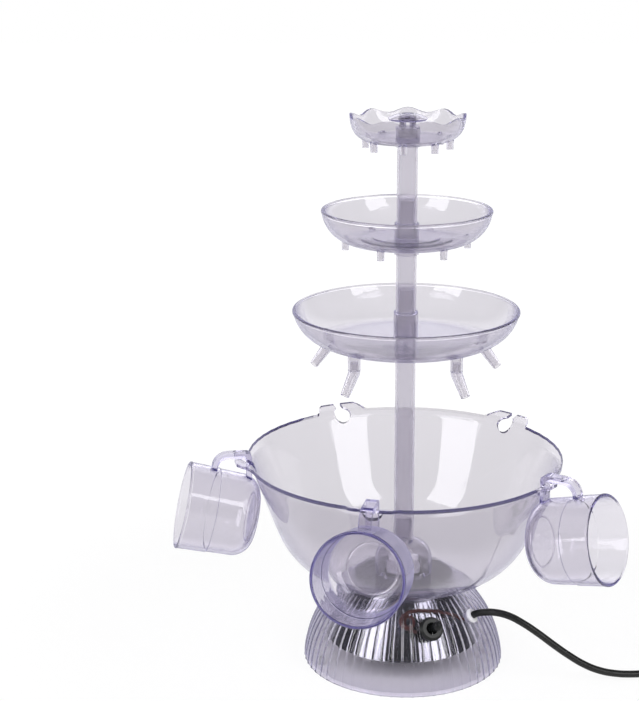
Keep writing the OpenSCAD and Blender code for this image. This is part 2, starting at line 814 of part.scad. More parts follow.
// A bell over the impeller with inlet slots round its foot and a spigot for the column
module pump_cover() {
    dome_r = cover_r - riser_r;
    dome_z = cover_top_z - dome_r - shoulder_t;
    bell = concat(
        [[flow_r, cover_foot_z], [cover_r, cover_foot_z]],
        arc([riser_r, dome_z], dome_r, 0, 90, arc_steps),
        [[riser_r, cover_top_z], [spigot_r, cover_top_z], [spigot_r, cover_top_z + spigot_l]],
        [[flow_r, cover_top_z + spigot_l]]
    );
    hollow = concat(
        [[0, cover_foot_z - over], [cover_r - cover_wall, cover_foot_z - over]],
        arc([riser_r, dome_z], dome_r - cover_wall, 0, 90, arc_steps),
        [[0, dome_z + dome_r - cover_wall]]
    );
    color(lavender)
        difference() {
            rotate_extrude()
                polygon(bell);
            rotate_extrude()
                polygon(hollow);
            ring_of(slot_count, 0, cover_r - 2 * cover_wall)
                translate([0, -slot_w / 2, cover_foot_z - over])
                    cube([3 * cover_wall, slot_w, slot_h + over]);
        }
}

// Bowl

module bowl() {
    color(lavender)
        difference() {
            intersection() {
                rotate_extrude()
                    polygon(concat(bowl_edge(0), flip(bowl_edge(bowl_wall))));
                translate([0, 0, deck_z - over])
                    linear_extrude(2 * bowl_h)
                        polygon([for (k = [0 : tab_count - 1]) each concat(tab_plan(k), rim_plan(k))]);
            }
            translate([0, 0, deck_z - over])
                cylinder(r = neck_hole_r, h = bowl_wall + 2 * over);
            for (k = [0 : tab_count - 1])
                rotate([0, 0, tab_az(k)])
                    translate([keyhole_c.x, 0, keyhole_c.y])
                        rotate([0, -keyhole_tilt, 0]) {
                            cylinder(d = keyhole_d, h = keyhole_d, center = true);
                            translate([0, -keyhole_gap / 2, -keyhole_d / 2])
                                cube([2 * tab_reach, keyhole_gap, keyhole_d * 3 / 2]);
                        }
        }
}

// Cups: a round-cornered beaker with a strap handle that threads a keyhole

function cup_outline(t) = concat(
    [[0, t]],
    arc([cup_disc_r, cup_corner_r], cup_corner_r - t, -90, 0, arc_steps),
    [
        [cup_side_r + (cup_mouth_r - cup_side_r) * cup_step_share - cup_step - t, cup_l * cup_step_share],
        [cup_side_r + (cup_mouth_r - cup_side_r) * cup_step_share - t, cup_l * cup_step_share + cup_step]
    ]
);
module cup_frame() {
    translate([cup_base_r, 0, cup_base_z])
        rotate([0, 90 - cup_tilt, 0])
            children();
}
module cup(k) {
    far_r = leg_r + strap_reach;
    high_z = strap_in_z + strap_t;
    in_r = leg_r - strap_t / 2;
    low_z = strap_foot_z - over;
    outside = rounded(
        [[in_r, strap_foot_z], [far_r, strap_foot_z], [far_r, high_z], [in_r, high_z]],
        [0, 0, strap_round + strap_t, strap_t]
    );
    inside = rounded(
        [[in_r + strap_t, low_z], [far_r - strap_t, low_z],
         [far_r - strap_t, strap_in_z], [in_r + strap_t, strap_in_z]],
        [0, 0, strap_round, strap_t / 4]
    );
    mouth_in_r = cup_mouth_r - cup_wall;
    past_l = cup_l + cup_wall;
    color(lavender)
        rotate([0, 0, tab_az(k)])
            difference() {
                union() {
                    cup_frame()
                        rotate_extrude()
                            polygon(concat(cup_outline(0), [[cup_mouth_r, cup_l], [0, cup_l]]));
                    cup_frame()
                        translate([0, 0, cup_l])
                            rotate_extrude()
                                translate([cup_mouth_r - cup_wall / 2, 0])
                                    circle(d = cup_wall * cup_bead_share);
                    rotate([90, 0, 0])
                        linear_extrude(strap_w, center = true)
                            difference() {
                                polygon(outside);
                                polygon(inside);
                            }
                }
                cup_frame()
                    rotate_extrude()
                        polygon(concat(
                            cup_outline(cup_wall),
                            [[mouth_in_r, cup_l], [mouth_in_r, past_l], [0, past_l]]
                        ));
            }
}
module cup_left() { cup(2); }
module cup_front() { cup(3); }
module cup_right() { cup(4); }

// Column and dishes

module column_tube(z, l) {
    color(lavender)
        translate([0, 0, z])
            difference() {
                cylinder(r = tube_r, h = l);
                translate([0, 0, -over])
                    cylinder(r = tube_r - tube_wall, h = l + 2 * over);
            }
}
module lower_tube() { column_tube(lower_tube_z, lower_tube_l); }
module mid_tube() { column_tube(mid_tube_z, mid_tube_l); }
module upper_tube() { column_tube(upper_tube_z, upper_tube_l); }

// Hub of a dish: a socket round the tube below, a shoulder, and a spigot inside the tube above
module hub(z, socket_l, spigot) {
    translate([0, 0, z - socket_l])
        cylinder(r = socket_r, h = socket_l + shoulder_t);
    translate([0, 0, z])
        cylinder(r = spigot_r, h = shoulder_t + spigot);
}
module hub_bores(z, socket_l, spigot) {
    translate([0, 0, z - socket_l - over])
        cylinder(r = socket_bore_r, h = socket_l + over);
    translate([0, 0, z - over])
        cylinder(r = flow_r, h = shoulder_t + spigot + 2 * over);
}

// Side of a dish: an arc that leaves the floor level and ends at the rim
function dish_arc_r(rim_r, h, floor_r) = ((rim_r - floor_r) ^ 2 + h ^ 2) / (2 * h);
function dish_side(rim_r, h, floor_r, t) =
    let (r = dish_arc_r(rim_r, h, floor_r), a = acos((r - h) / r))
    arc([floor_r, r], r - t, -90, a - 90, arc_steps);
module dish_shell(rim_r, h, floor_r, plateau_r, inner_r) {
    outside = dish_side(rim_r, h, floor_r, 0);
    inside = dish_side(rim_r, h, floor_r, dish_wall);
    top = dish_wall + plateau_h;
    step = top - plateau_h / 2;
    run = plateau_h * plateau_run_share;
    past = h + 2 * rim_bead_r;
    mouth_r = rim_r - dish_wall / 2 - rim_bead_r;
    difference() {
        union() {
            rotate_extrude()
                polygon(concat([[0, 0]], outside, [[0, h]]));
            translate([0, 0, h])
                rotate_extrude()
                    translate([rim_r - dish_wall / 2, 0])
                        circle(r = rim_bead_r);
            children();
        }
        rotate_extrude()
            polygon(concat(
                [[0, top], [inner_r, top], [inner_r + run, step], [plateau_r, step]],
                [[plateau_r + run, dish_wall]],
                inside,
                [[mouth_r, past], [0, past]]
            ));
    }
}

// A short tapered nozzle under a floor, with a root of the given height inside the dish's wall
module nozzle(root) {
    translate([0, 0, -nozzle_l])
        cylinder(r1 = nozzle_r - nozzle_taper, r2 = nozzle_r, h = nozzle_l + root);
}

module bottom_dish() {
    color(lavender)
        difference() {
            union() {
                translate([0, 0, bottom_floor_z])
                    dish_shell(bottom_dish_r, bottom_dish_h, bottom_floor_r, bottom_plateau_r, bottom_inner_r)
                        ring_of(spout_count, bottom_spout_az, spout_ring_r)
                            translate([0, 0, -nipple_l])
                                cylinder(r = nipple_r, h = nipple_l + bottom_dish_h / 2);
                hub(bottom_hub_z, bottom_socket_l, spigot_l);
            }
            hub_bores(bottom_hub_z, bottom_socket_l, spigot_l);
            translate([0, 0, bottom_floor_z - nipple_l - over])
                ring_of(spout_count, bottom_spout_az, spout_ring_r)
                    cylinder(r = nipple_bore_r, h = nipple_l + bottom_dish_h / 2);
        }
}

module middle_dish() {
    color(lavender)
        difference() {
            union() {
                translate([0, 0, middle_floor_z])
                    dish_shell(middle_dish_r, middle_dish_h, middle_floor_r, middle_plateau_r, middle_inner_r)
                        ring_of(middle_nozzle_count, middle_nozzle_az, middle_nozzle_ring_r)
                            nozzle(middle_dish_h / 3);
                hub(middle_hub_z, middle_socket_l, spigot_l);
            }
            hub_bores(middle_hub_z, middle_socket_l, spigot_l);
            translate([0, 0, middle_floor_z - nozzle_l - over])
                ring_of(middle_nozzle_count, middle_nozzle_az, middle_nozzle_ring_r)
                    cylinder(r = nozzle_bore_r, h = nozzle_l + middle_dish_h / 2);
        }
}

// The top dish's side rises into waves that flare out at their crests
module top_dish() {
    side_r = dish_arc_r(top_dish_r, top_dish_h, top_floor_r);
    side_turn = acos((side_r - top_dish_h) / side_r);
    function side(t) = [
        for (i = [0 : top_rows])
            let (p = [top_floor_r, side_r] + polar(side_r - t, -90 + side_turn * i / top_rows))
            let (w = smooth((i / top_rows - wave_start_share) / (1 - wave_start_share)))
                [p.x, p.y, wave_flare * w, wave_h * w]
    ];
    rows = concat([[flow_r, 0, 0, 0]], side(0), flip(side(dish_wall)), [[flow_r, dish_wall, 0, 0]]);
    color(lavender)
        difference() {
            union() {
                translate([0, 0, top_floor_z])
                    wavy_ring(rows, wave_count * wave_samples, function (a) cos(wave_count * (a - 90)));
                translate([0, 0, top_floor_z])
                    ring_of(top_nozzle_count, top_nozzle_az, top_nozzle_ring_r)
                        nozzle(dish_wall * nozzle_root_share);
                hub(top_hub_z, top_socket_l, 0);
            }
            hub_bores(top_hub_z, top_socket_l, 0);
            translate([0, 0, top_floor_z - nozzle_l - over])
                ring_of(top_nozzle_count, top_nozzle_az, top_nozzle_ring_r)
                    cylinder(r = nozzle_bore_r, h = nozzle_l + top_dish_h / 2);
        }
}

// A shallow umbrella over the outlet, on a cross-slotted stem
module top_cap() {
    z = top_hub_z + shoulder_t + seat_gap;
    ball_r = (cap_r ^ 2 + cap_h ^ 2) / (2 * cap_h);
    spread = asin(cap_r / ball_r);
    crown = [0, cap_lift + cap_h - ball_r];
    color(lavender)
        translate([0, 0, z])
            difference() {
                union() {
                    rotate_extrude()
                        polygon(concat(
                            arc(crown, ball_r, 90 - spread, 90, arc_steps),
                            arc(crown, ball_r - cap_t, 90, 90 - spread, arc_steps)
                        ));
                    translate([0, 0, -cap_stem_l])
                        cylinder(r = cap_stem_r, h = cap_stem_l + cap_lift + cap_h - cap_t / 2);
                    cylinder(r = cap_foot_r, h = cap_lift + cap_h / 2);
                }
                for (a = [0, 90])
                    rotate([0, 0, a])
                        translate([-cap_foot_r - over, -cap_slot_w / 2, -cap_stem_l - over])
                            cube([2 * (cap_foot_r + over), cap_slot_w, cap_stem_l + cap_lift - cap_t + over]);
            }
}

// Spouts: bent nozzles that turn in the nipples under the bottom dish

module spout(k) {
    z = bottom_floor_z - nipple_l - seat_gap;
    color(lavender)
        rotate([0, 0, bottom_spout_az + 360 / spout_count * k])
            translate([spout_ring_r, 0, z])
                difference() {
                    union() {
                        cylinder(r = stem_r, h = stem_l);
                        translate([0, 0, -elbow_drop])
                            cylinder(r = elbow_r, h = elbow_drop);
                        translate([0, 0, -elbow_drop])
                            sphere(r = elbow_r);
                        translate([0, 0, -elbow_drop])
                            rotate([0, 180 - spout_slant, 0])
                                cylinder(r1 = elbow_r, r2 = spout_tip_r, h = spout_l);
                    }
                    translate([0, 0, stem_l])
                        cylinder(r = nipple_r, h = elbow_r);
                    translate([0, 0, -elbow_drop])
                        cylinder(r = spout_bore_r, h = stem_l + elbow_drop + over);
                    translate([0, 0, -elbow_drop])
                        sphere(r = spout_bore_r);
                    translate([0, 0, -elbow_drop])
                        rotate([0, 180 - spout_slant, 0])
                            cylinder(r = spout_bore_r, h = spout_l + over);
                    difference() {
                        cylinder(r = nipple_r + over, h = elbow_r + over);
                        translate([0, 0, -over])
                            cylinder(r = stem_r, h = elbow_r + 3 * over);
                    }
                }
}
module spout_1() { spout(0); }
module spout_2() { spout(1); }
module spout_3() { spout(2); }
module spout_4() { spout(3); }
module spout_5() { spout(4); }

// Switch and cord

module switch_body() {
    color(dark)
        on_skirt(switch_az, switch_z)
            difference() {
                union() {
                    translate([0, 0, body_z - body_l])
                        cylinder(r = body_r, h = body_l);
                    translate([0, 0, body_z - over])
                        cylinder(r = bushing_r, h = over + nut_z + nut_t - body_z);
                }
                translate([0, 0, body_z])
                    cylinder(r1 = pivot_r + slide_fit, r2 = bushing_in_r, h = nut_z + nut_t - body_z);
                translate([0, 0, body_z + body_l])
                    cylinder(r = bushing_in_r, h = over);
            }
}

module switch_nut() {
    color(dark)
        on_skirt(switch_az, switch_z)
            translate([0, 0, nut_z])
                difference() {
                    union() {
                        cylinder(r = switch_nut_r, h = nut_t / 2);
                        translate([0, 0, nut_t / 2])
                            cylinder(r1 = switch_nut_r, r2 = switch_nut_r - nut_t / 2, h = nut_t / 2);
                    }
                    translate([0, 0, -over])
                        cylinder(r = bushing_r + run_fit, h = nut_t + 2 * over);
                }
}

module switch_lever() {
    color(dark)
        on_skirt(switch_az, switch_z)
            translate([0, 0, pivot_z])
                rotate([-lever_lean, 0, 0]) {
                    sphere(r = pivot_r);
                    cylinder(r1 = lever_root_r, r2 = lever_tip_r, h = lever_l - lever_tip_r);
                    translate([0, 0, lever_l - lever_tip_r])
                        sphere(r = lever_tip_r);
                }
}

module cord_grommet() {
    color(pale)
        on_skirt(grommet_az, grommet_z)
            difference() {
                union() {
                    translate([0, 0, body_z - panel_gap])
                        cylinder(r = grommet_neck_r, h = nut_z - body_z + panel_gap + over);
                    translate([0, 0, nut_z])
                        cylinder(r = grommet_r, h = grommet_t / 2);
                    translate([0, 0, nut_z + grommet_t / 2])
                        cylinder(r1 = grommet_r, r2 = grommet_neck_r, h = grommet_t / 2);
                }
                translate([0, 0, body_z - panel_gap - over])
                    cylinder(r = cord_r + run_fit, h = nut_z - body_z + grommet_t + grommet_nose + 2 * over);
            }
}

// Two insulated leads: from the grommet to the switch, and from the switch under the reflector to the motor
module lead_wires() {
    color(brown) {
        tube(lead_to_switch, lead_r, lead_sides);
        tube(lead_to_motor, lead_r, lead_sides);
    }
}

module power_cord() {
    color(dark)
        tube(cord_route, cord_r, cord_sides);
}

module cord_coil() {
    color(dark)
        tube(coil_path, cord_r, coil_sides);
}

module coil_tie() {
    color(pale)
        translate([coil_c.x, coil_c.y, 0])
            rotate([90, 0, tie_az])
                linear_extrude(tie_w, center = true)
                    difference() {
                        translate([tie_in_r - tie_t, tie_low_z - tie_t])
                            square([tie_out_r - tie_in_r + 2 * tie_t, tie_high_z - tie_low_z + 2 * tie_t]);
                        translate([tie_in_r, tie_low_z])
                            square([tie_out_r - tie_in_r, tie_high_z - tie_low_z]);
                    }
}

// A flat two-pin plug lies past the coil, in line with the cord's tail
module plug_body() {
    half_w = plug_w / 2;
    widest_y = sleeve_l + plug_l / 2;
    face_y = sleeve_l + plug_l;
    outline = rounded(
        [[-sleeve_root_r, sleeve_l], [sleeve_root_r, sleeve_l], [half_w, widest_y], [half_w, face_y],
         [-half_w, face_y], [-half_w, widest_y]],
        [0, 0, plug_round, pin_r, pin_r, plug_round]
    );
    color(dark)
        translate(plug_start)
            difference() {
                union() {
                    translate([0, 0, -plug_half_t])
                        linear_extrude(2 * plug_half_t)
                            polygon(outline);
                    rotate([-90, 0, 0])
                        cylinder(r1 = sleeve_tip_r, r2 = sleeve_root_r, h = sleeve_l + over);
                }
                for (s = [-1, 1])
                    translate([s * pin_pitch / 2, face_y - pin_set, 0])
                        rotate([-90, 0, 0])
                            cylinder(r = pin_r + run_fit, h = pin_set + over);
            }
}

module plug_pins() {
    color(steel)
        translate(plug_start)
            for (s = [-1, 1])
                translate([s * pin_pitch / 2, sleeve_l + plug_l - pin_set, 0])
                    rotate([-90, 0, 0]) {
                        cylinder(r = pin_r, h = pin_set + pin_l - pin_r);
                        translate([0, 0, pin_set + pin_l - pin_r])
                            sphere(r = pin_r);
                    }
}

base_shell();
reflector();
bottom_plate();
floor_pads();
plate_screws();
motor_mount();
motor_can();
motor_screws();
shaft_seal();
motor_shaft();
impeller();
switch_body();
switch_nut();
switch_lever();
cord_grommet();
lead_wires();
power_cord();
cord_coil();
coil_tie();
plug_body();
plug_pins();
bowl();
bowl_gasket();
lock_ring();
pump_cover();
lower_tube();
bottom_dish();
spout_1();
spout_2();
spout_3();
spout_4();
spout_5();
mid_tube();
middle_dish();
upper_tube();
top_dish();
top_cap();
cup_left();
cup_front();
cup_right();
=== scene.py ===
import math

import bpy
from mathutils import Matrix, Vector


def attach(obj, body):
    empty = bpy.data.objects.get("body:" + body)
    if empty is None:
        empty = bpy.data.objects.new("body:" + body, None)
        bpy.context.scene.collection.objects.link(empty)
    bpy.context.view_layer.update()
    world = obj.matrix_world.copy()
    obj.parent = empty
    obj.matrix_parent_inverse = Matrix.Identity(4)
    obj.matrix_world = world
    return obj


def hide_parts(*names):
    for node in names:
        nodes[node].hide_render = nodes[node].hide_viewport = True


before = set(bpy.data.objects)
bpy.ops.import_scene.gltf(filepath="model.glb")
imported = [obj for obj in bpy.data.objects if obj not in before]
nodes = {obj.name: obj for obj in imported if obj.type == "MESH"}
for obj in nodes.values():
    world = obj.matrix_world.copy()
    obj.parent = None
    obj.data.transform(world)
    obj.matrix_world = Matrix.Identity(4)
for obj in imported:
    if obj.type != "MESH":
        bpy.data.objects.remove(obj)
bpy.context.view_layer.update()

scene = bpy.context.scene

# Camera
# It stands in front of the fountain, a little higher than the top dish, and looks down and slightly to the
# left. Its place, turn and lens were fitted to the ellipses of the rims.
scene.view_settings.view_transform = "Standard"
camera = bpy.data.objects.new("camera", bpy.data.cameras.new("camera"))
camera.location = (0.0, -1.322, 0.640)
camera.rotation_euler = [math.radians(turn) for turn in (74.5, 0.24, 3.03)]
camera.data.sensor_fit = "VERTICAL"
camera.data.sensor_height = 36.0
camera.data.lens = 84.74
scene.collection.objects.link(camera)
scene.camera = camera


# Light and floor
# A white sweep with two tall softboxes in front, left and right of the camera, and a dark room behind it.
# The sweep is white to the eye, to gloss and to clear plastic, and still takes the fountain's shadow.
class Wire:
    """A socket in a node tree. Sums on it add Math nodes, and node() adds any other node."""

    def __init__(self, tree, socket=None):
        self.tree, self.socket = tree, socket

    def node(self, kind, settings=None, sockets=None, output=0):
        made = self.tree.nodes.new(kind)
        for name, value in (settings or {}).items():
            setattr(made, name, value)
        for name, value in (sockets or {}).items():
            if isinstance(value, Wire):
                self.tree.links.new(value.socket, made.inputs[name])
            else:
                made.inputs[name].default_value = value
        return Wire(self.tree, made.outputs[output] if made.outputs else None)

    def maths(self, operation, first, second):
        return self.node("ShaderNodeMath", {"operation": operation}, {0: first, 1: second})

    def __add__(self, other):
        return self.maths("ADD", self, other)

    def __radd__(self, other):
        return self.maths("ADD", other, self)

    def __sub__(self, other):
        return self.maths("SUBTRACT", self, other)

    def __rsub__(self, other):
        return self.maths("SUBTRACT", other, self)

    def __mul__(self, other):
        return self.maths("MULTIPLY", self, other)

    def __rmul__(self, other):
        return self.maths("MULTIPLY", other, self)

    def step(self, low, high):
        return self.node("ShaderNodeMapRange", {"interpolation_type": "SMOOTHSTEP"},
                         {"Value": self, "From Min": low, "From Max": high})


def start(owner):
    """Empties the node tree of a material or world, and returns a Wire to fill it with."""
    owner.use_nodes = True
    owner.node_tree.nodes.clear()
    return Wire(owner.node_tree)


def ray(desk, kind):
    """What is known of the ray that is being shaded."""
    return desk.node("ShaderNodeLightPath", output=kind)


def shade(share, first, second):
    """The colour that lies this share of the way from the first colour to the second."""
    return share.node("ShaderNodeMix", {"data_type": "RGBA"},
                      {0: share, 6: (*first, 1), 7: (*second, 1)}, output=2)


world = bpy.data.worlds.new("studio")
scene.world = world
desk = start(world)
toward = desk.node("ShaderNodeTexCoord", output="Generated")
north = desk.node("ShaderNodeSeparateXYZ", sockets={0: toward}, output="Y")
up = desk.node("ShaderNodeSeparateXYZ", sockets={0: toward}, output="Z")
# Clear plastic sees a dark room behind the camera, and bright metal sees it reach round to the sides.
ceiling = up.step(0.62, 0.8)
room = desk.maths("MAXIMUM", up.step(0.06, 0.26) * (1.0 - north.step(-0.15, 0.25)), ceiling)
wide_room = desk.maths("MAXIMUM", up.step(-0.05, 0.05) * (1.0 - north.step(0.55, 0.88)), ceiling)
eye = ray(desk, "Is Camera Ray")
gloss = ray(desk, "Is Glossy Ray")
clear = ray(desk, "Is Transmission Ray")
# A ray mirrored by the metal behind the shell sees the room as metal does, although it left through plastic.
surfaces_passed = 3.5
mirrored = desk.maths("MINIMUM", ray(desk, "Glossy Depth"), 1.0)
behind = mirrored * desk.maths("GREATER_THAN", ray(desk, "Transmission Depth"), surfaces_passed)
dark_to_metal, dark_to_plastic, dark_if_mirrored, ambient = 0.96, 0.35, 0.25, 0.32
metal_sees = 1.0 - dark_to_metal * wide_room
plastic_sees = 1.0 - room * (dark_to_plastic + dark_if_mirrored * mirrored)
level = eye + gloss * metal_sees + clear * (behind * metal_sees + (1.0 - behind) * plastic_sees)
others = 1.0 - desk.maths("MINIMUM", eye + gloss + clear, 1.0)
sky = desk.node("ShaderNodeBackground", sockets={"Color": (1, 1, 1, 1), "Strength": level + ambient * others})
desk.node("ShaderNodeOutputWorld", sockets={"Surface": sky})

box_width, box_height, box_power = 0.92, 1.35, 15.0
box_reach, box_rise, aim = 1.75, 0.52, Vector((0, 0, 0.2))
for side, azimuth in (("left", -138), ("right", -42)):
    lamp = bpy.data.lights.new("softbox_" + side, "AREA")
    lamp.shape, lamp.size, lamp.size_y = "RECTANGLE", box_width, box_height
    lamp.energy = box_power
    softbox = bpy.data.objects.new("softbox_" + side, lamp)
    a = math.radians(azimuth)
    away = Vector((math.cos(a), math.sin(a), box_rise)).normalized()
    softbox.location = aim + box_reach * away
    softbox.rotation_euler = (-away).to_track_quat("-Z", "Y").to_euler()
    softbox.visible_camera = False
    scene.collection.objects.link(softbox)

half = 6.0
corners = [(-half, -half, 0), (half, -half, 0), (half, half, 0), (-half, half, 0)]
floor_mesh = bpy.data.meshes.new("floor")
floor_mesh.from_pydata(corners, [], [(0, 1, 2, 3)])
floor = bpy.data.objects.new("floor", floor_mesh)
scene.collection.objects.link(floor)
sweep = bpy.data.materials.new("sweep")
desk = start(sweep)
grain = desk.node("ShaderNodeTexNoise", sockets={"Scale": 3.0, "Detail": 4.0})
paper = desk.node("ShaderNodeBsdfDiffuse", sockets={
    "Color": shade(grain, (0.86, 0.86, 0.87), (0.9, 0.9, 0.9))})
glow = desk.node("ShaderNodeEmission", sockets={"Color": (1, 1, 1, 1), "Strength": 1.05})
watched = desk.maths("MINIMUM", 1.0, ray(desk, "Is Camera Ray") + ray(desk, "Is Glossy Ray")
                     + ray(desk, "Is Transmission Ray"))
distance = desk.node("ShaderNodeVectorMath", {"operation": "LENGTH"}, {
    0: desk.node("ShaderNodeTexCoord", output="Object")}, output="Value")
glow_near, glow_added = 0.86, 0.14
lit = watched * (glow_near + glow_added * distance.step(0.25, 0.7))
desk.node("ShaderNodeOutputMaterial", sockets={
    "Surface": desk.node("ShaderNodeMixShader", sockets={0: lit, 1: paper, 2: glow})})
floor_mesh.materials.append(sweep)
scene.cycles.max_bounces = 28
scene.cycles.transmission_bounces = 28
scene.cycles.transparent_max_bounces = 32
scene.cycles.glossy_bounces = 12


# Base shell
# A dome moulded in clear lavender plastic, with fine upright ribs outside and a flat deck for the bowl.
# It goes over the reflector and is held by screws through the bottom plate.
def new_finish(name):
    """A new material, a Wire to fill its tree with, and the place on the piece."""
    material = bpy.data.materials.new(name)
    desk = start(material)
    return material, desk, desk.node("ShaderNodeTexCoord", output="Object")


def noise(place, scale, detail, distortion=0.0):
    """A cloudy value between 0 and 1 that changes from place to place."""
    return place.node("ShaderNodeTexNoise", sockets={
        "Vector": place, "Scale": scale, "Detail": detail, "Distortion": distortion})


def bump(height, strength, distance):
    """The normal of a surface with a fine relief."""
    return height.node("ShaderNodeBump", sockets={
        "Strength": strength, "Distance": distance, "Height": height})


def clear_plastic(name, tint, density, haze, edge_share, milk=0.0, deep=(0.6, 0.56, 0.82)):
    """Moulded clear plastic with faint flow marks, handling haze and hairlines.

    It takes the deep colour where it is thick, shows a violet edge where it is seen along its face, and has
    a small share of milk in it.
    """
    material, desk, place = new_finish(name)
    cloud = noise(place, 38.0, 3.0)
    drawn = desk.node("ShaderNodeMapping", sockets={"Vector": place, "Scale": (9.0, 9.0, 160.0)})
    flow = noise(drawn, 1.6, 2.0, 1.5)
    across = desk.node("ShaderNodeMapping", sockets={
        "Vector": place, "Rotation": (0.5, 0.3, 0.7), "Scale": (60.0, 900.0, 240.0)})
    hairlines = noise(across, 1.0, 2.0).step(0.66, 0.74)
    plastic = desk.node("ShaderNodeBsdfPrincipled", sockets={
        "Base Color": shade(cloud, [c * 0.985 for c in tint], tint),
        "Roughness": haze * (0.5 + cloud) + hairlines * 0.05,
        "IOR": 1.49, "Transmission Weight": 1.0, "Normal": bump(flow * 0.6 + cloud * 0.5, 0.05, 0.001)})
    milky = desk.node("ShaderNodeBsdfDiffuse", sockets={"Color": (0.62, 0.6, 0.67, 1)})
    plastic = desk.node("ShaderNodeMixShader", sockets={0: milk, 1: plastic, 2: milky})
    edge = desk.node("ShaderNodeBsdfDiffuse", sockets={"Color": (0.36, 0.34, 0.56, 1)})
    grazed = desk.node("ShaderNodeLayerWeight", sockets={"Blend": 0.5}, output="Facing").step(0.5, 0.95)
    plastic = desk.node("ShaderNodeMixShader", sockets={0: grazed * edge_share, 1: plastic, 2: edge})
    passed = desk.node("ShaderNodeBsdfTransparent", sockets={"Color": (*[c ** 0.3 for c in tint], 1)})
    plastic = desk.node("ShaderNodeMixShader", sockets={0: ray(desk, "Is Shadow Ray"), 1: plastic, 2: passed})
    bulk = desk.node("ShaderNodeVolumeAbsorption", sockets={"Color": (*deep, 1), "Density": density})
    desk.node("ShaderNodeOutputMaterial", sockets={"Surface": plastic, "Volume": bulk})
    return material


def lofted(name, rows):
    """A closed mesh through rows of points in millimetres. Each row, and the run of rows, goes round."""
    points = [Vector(point) / 1000 for row in rows for point in row]
    faces, count = [], len(rows[0])
    for i in range(len(rows)):
        a, b = i * count, (i + 1) % len(rows) * count
        for j in range(count):
            k = (j + 1) % count
            faces.append((a + j, a + k, b + k, b + j))
    mesh = bpy.data.meshes.new(name)
    mesh.from_pydata(points, [], faces)
    mesh.polygons.foreach_set("use_smooth", [True] * len(faces))
    piece = bpy.data.objects.new(name, mesh)
    scene.collection.objects.link(piece)
    return piece


def ring_mesh(name, rows, columns, wave=lambda a: 0.0):
    """A closed ring. Its section is a loop of (radius, height, share of the wave) rows."""
    turns = [2 * math.pi * j / columns for j in range(columns)]
    return lofted(name, [[((r + share * wave(a)) * math.cos(a), (r + share * wave(a)) * math.sin(a), z)
                          for a in turns] for r, z, share in rows])


def sharpen(piece, angle):
    """Edges of a rebuilt piece sharper than the angle stay crisp."""
    piece.data.set_sharp_from_angle(angle=math.radians(angle))


rib_count, rib_h, rib_share, rib_fade = 60, 0.7, 0.32, 9.0
deck_r, deck_z, deck_t, neck_hole_r = 43.0, 74.0, 3.0, 10.15
skirt_arc_r, skirt_arc_x, skirt_arc_z, skirt_wall = 97.0, -11.604, -6.171, 2.2
points_per_wave = 10


def rib(a):
    """The height of the ribs at an angle round the shell, as a share of a full rib."""
    turn = (a * rib_count / (2 * math.pi)) % 1.0
    near = min(turn, 1.0 - turn)
    return math.cos(math.pi * near / rib_share) ** 2 if near < rib_share / 2 else 0.0


def lean(z):
    """The angle above level of the skirt's normal, which is an arc's radius, at a height."""
    return math.asin((z - skirt_arc_z) / skirt_arc_r)


def skirt(z):
    """The skirt's radius outside, between the ribs, at a height."""
    return skirt_arc_x + skirt_arc_r * math.cos(lean(z))


def skirt_inside(z):
    """The skirt's radius inside at a height."""
    return skirt(z) - skirt_wall / math.cos(lean(z))


foot_bevel, foot_bevel_z, deck_bevel, inside_bevel, lip_bevel = 0.35, 0.5, 1.5, 0.5, 0.4
under_z = deck_z - deck_t
outside_low, outside_steps = 1.5, 44
inside_low, inside_high, inside_steps = 0.5, 69.8, 20
outside = [outside_low + (deck_z - outside_low) * i / outside_steps for i in range(outside_steps + 1)]
inside = [inside_high - (inside_high - inside_low) * i / inside_steps for i in range(inside_steps + 1)]
shell_rows = [(skirt(0) - foot_bevel, 0, rib_h)]
shell_rows += [(skirt(z), z, rib_h * min(1.0, (deck_z - z) / rib_fade)) for z in [foot_bevel_z] + outside]
shell_rows += [(deck_r - deck_bevel, deck_z, 0), (neck_hole_r, deck_z, 0)]
shell_rows += [(neck_hole_r, under_z, 0), (deck_r - inside_bevel, under_z, 0)]
shell_rows += [(skirt_inside(z), z, 0) for z in inside] + [(skirt_inside(0) + lip_bevel, 0, 0)]
ribbed_shell = ring_mesh("ribbed_shell", shell_rows, rib_count * points_per_wave, rib)
sharpen(ribbed_shell, 50)
shell_plastic = clear_plastic("shell_plastic", tint=(0.87, 0.855, 0.87), density=140.0, haze=0.012,
                              edge_share=0.5, deep=(0.56, 0.54, 0.7))
ribbed_shell.data.materials.append(shell_plastic)
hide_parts("base_shell")
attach(ribbed_shell, "base")

# Reflector
# A fluted cone of bright metallised sheet, which hides the motor and flashes between the shell's ribs.
# It is pressed to shape, and its flat top is held between the deck and the motor mount.
flute_count, flute_h, cone_steps = 32, 0.08, 20
cone_foot_r, cone_foot_z, cone_top_r, sheet = 66.0, 22.0, 41.9, 1.2
sheet_z = under_z - sheet


def flute(a):
    """The height of the flutes at an angle round the cone, as a share of a full flute."""
    return math.cos(flute_count * a)


def finish(desk, sockets):
    """Ends an opaque material's tree in one shader."""
    shader = desk.node("ShaderNodeBsdfPrincipled", sockets=sockets)
    desk.node("ShaderNodeOutputMaterial", sockets={"Surface": shader})


